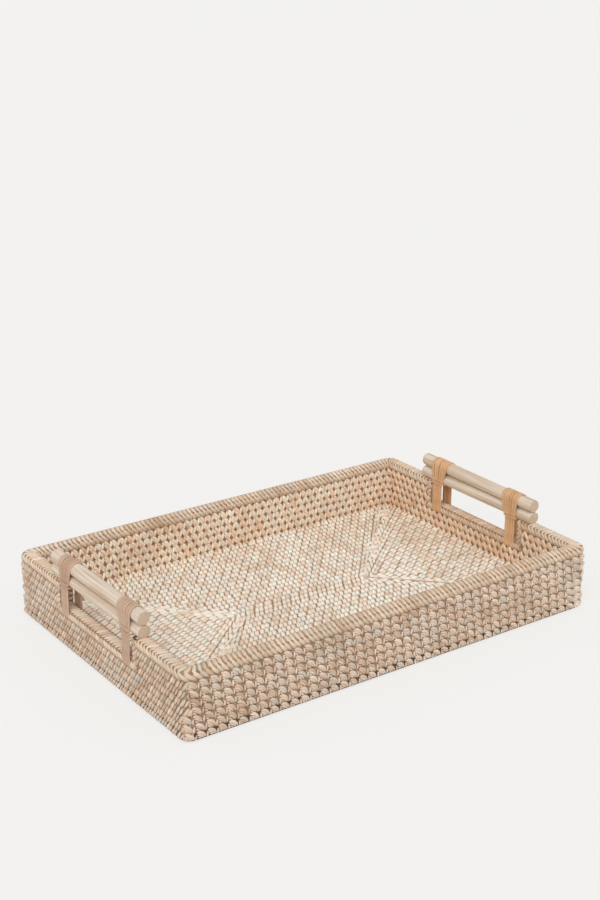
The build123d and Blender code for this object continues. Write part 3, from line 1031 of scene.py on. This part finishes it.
class TRAY_OT_stage(bpy.types.Operator):
    """Set the plain floor, the soft light and the camera"""

    bl_idname = "tray.stage"
    bl_label = "Stage"

    def execute(self, context):
        for name in ("Cube", "Light", "Camera"):
            if name in bpy.data.objects:
                bpy.data.objects.remove(bpy.data.objects[name])
        colours = context.scene.tray_colours
        self.lay_floor(context, colours.backdrop)
        self.light(context, colours.backdrop)
        self.aim_camera(context)
        context.scene.view_settings.view_transform = "Standard"
        return {"FINISHED"}

    def lay_floor(self, context, colour):
        """A round floor; the camera sees part of it at the backdrop's own colour."""
        around = 64
        ring = [(STAGE_RADIUS * math.cos(2 * math.pi * i / around),
                 STAGE_RADIUS * math.sin(2 * math.pi * i / around), 0.0) for i in range(around)]
        mesh = bpy.data.meshes.new("studio_floor")
        mesh.from_pydata(ring, [], [tuple(range(around))])
        floor = bpy.data.objects.new("studio_floor", mesh)
        context.scene.collection.objects.link(floor)
        material = bpy.data.materials.new("studio_floor")
        material.use_nodes = True
        tree = material.node_tree
        tree.nodes.clear()
        matt = add_node(tree, "ShaderNodeBsdfDiffuse", {"Color": (*colour, 1.0)}).outputs["BSDF"]
        glow = add_node(tree, "ShaderNodeEmission", {"Color": (*colour, 1.0)}).outputs["Emission"]
        seen = add_node(tree, "ShaderNodeLightPath").outputs["Is Camera Ray"]
        share = add_node(tree, "ShaderNodeMath", {0: seen, 1: FLOOR_GLOW}, operation="MULTIPLY").outputs[0]
        blend = add_node(tree, "ShaderNodeMixShader", {0: share, 1: matt, 2: glow}).outputs[0]
        output = add_node(tree, "ShaderNodeOutputMaterial")
        tree.links.new(blend, output.inputs["Surface"])
        mesh.materials.append(material)

    def light(self, context, colour):
        """Even light all round, with a broad soft lamp above."""
        world = bpy.data.worlds.new("studio")
        world.use_nodes = True
        tree = world.node_tree
        tree.nodes.clear()
        path = add_node(tree, "ShaderNodeLightPath")
        even = add_node(
            tree, "ShaderNodeBackground", {"Color": (1, 1, 1, 1), "Strength": WORLD_STRENGTH}).outputs[0]
        seen = add_node(
            tree, "ShaderNodeBackground", {"Color": (*colour, 1.0), "Strength": 1.0}).outputs[0]
        blend = add_node(tree, "ShaderNodeMixShader", {0: path.outputs["Is Camera Ray"], 1: even, 2: seen})
        output = add_node(tree, "ShaderNodeOutputWorld")
        tree.links.new(blend.outputs[0], output.inputs["Surface"])
        context.scene.world = world
        lamp = bpy.data.lights.new("studio_lamp", "SUN")
        lamp.energy = LAMP_STRENGTH
        lamp.angle = math.radians(LAMP_SPREAD)
        made = bpy.data.objects.new("studio_lamp", lamp)
        context.scene.collection.objects.link(made)
        toward = Vector(LAMP_TOWARD).normalized()
        made.rotation_euler = toward.to_track_quat("Z", "Y").to_euler()

    def aim_camera(self, context):
        """Look at the tray from its front left, from above."""
        azimuth = math.radians(CAMERA_AZIMUTH)
        elevation = math.radians(CAMERA_ELEVATION)
        back = Vector((
            math.sin(azimuth) * math.cos(elevation), -math.cos(azimuth) * math.cos(elevation),
            math.sin(elevation)))
        right = Vector((math.cos(azimuth), math.sin(azimuth), 0.0))
        up = back.cross(right)
        place = (back * CAMERA_DISTANCE + right * CAMERA_ACROSS + up * CAMERA_UP) * TRAY_LENGTH
        lens = bpy.data.cameras.new("studio_camera")
        lens.lens = CAMERA_LENS
        lens.sensor_width = 36.0
        camera = bpy.data.objects.new("studio_camera", lens)
        context.scene.collection.objects.link(camera)
        camera.matrix_world = Matrix((
            (right.x, up.x, back.x, place.x), (right.y, up.y, back.y, place.y),
            (right.z, up.z, back.z, place.z), (0, 0, 0, 1)))
        context.scene.camera = camera


class TRAY_PT_panel(bpy.types.Panel):
    """Tray tools"""

    bl_idname = "TRAY_PT_panel"
    bl_label = "Rattan tray"
    bl_space_type = "VIEW_3D"
    bl_region_type = "UI"
    bl_category = "Tray"

    def draw(self, context):
        layout = self.layout
        for settings in (context.scene.tray_weave, context.scene.tray_colours):
            box = layout.box()
            for name in settings.__annotations__:
                box.prop(settings, name)
        for operator in OPERATORS:
            layout.operator(operator.bl_idname)


OPERATORS = (
    TRAY_OT_stage, TRAY_OT_backing, TRAY_OT_floor, TRAY_OT_walls, TRAY_OT_rim, TRAY_OT_rods, TRAY_OT_straps)
CLASSES = (TrayWeave, TrayColours, *OPERATORS, TRAY_PT_panel)


def register():
    for cls in CLASSES:
        bpy.utils.register_class(cls)
    bpy.types.Scene.tray_weave = PointerProperty(type=TrayWeave)
    bpy.types.Scene.tray_colours = PointerProperty(type=TrayColours)


def unregister():
    del bpy.types.Scene.tray_colours
    del bpy.types.Scene.tray_weave
    for cls in reversed(CLASSES):
        bpy.utils.unregister_class(cls)


def main():
    """Build the tray's looks in order."""
    register()
    bpy.ops.tray.stage()
    bpy.ops.tray.backing()
    bpy.ops.tray.floor()
    bpy.ops.tray.walls()
    bpy.ops.tray.rim()
    bpy.ops.tray.rods()
    bpy.ops.tray.straps()


if __name__ == "__main__":
    main()
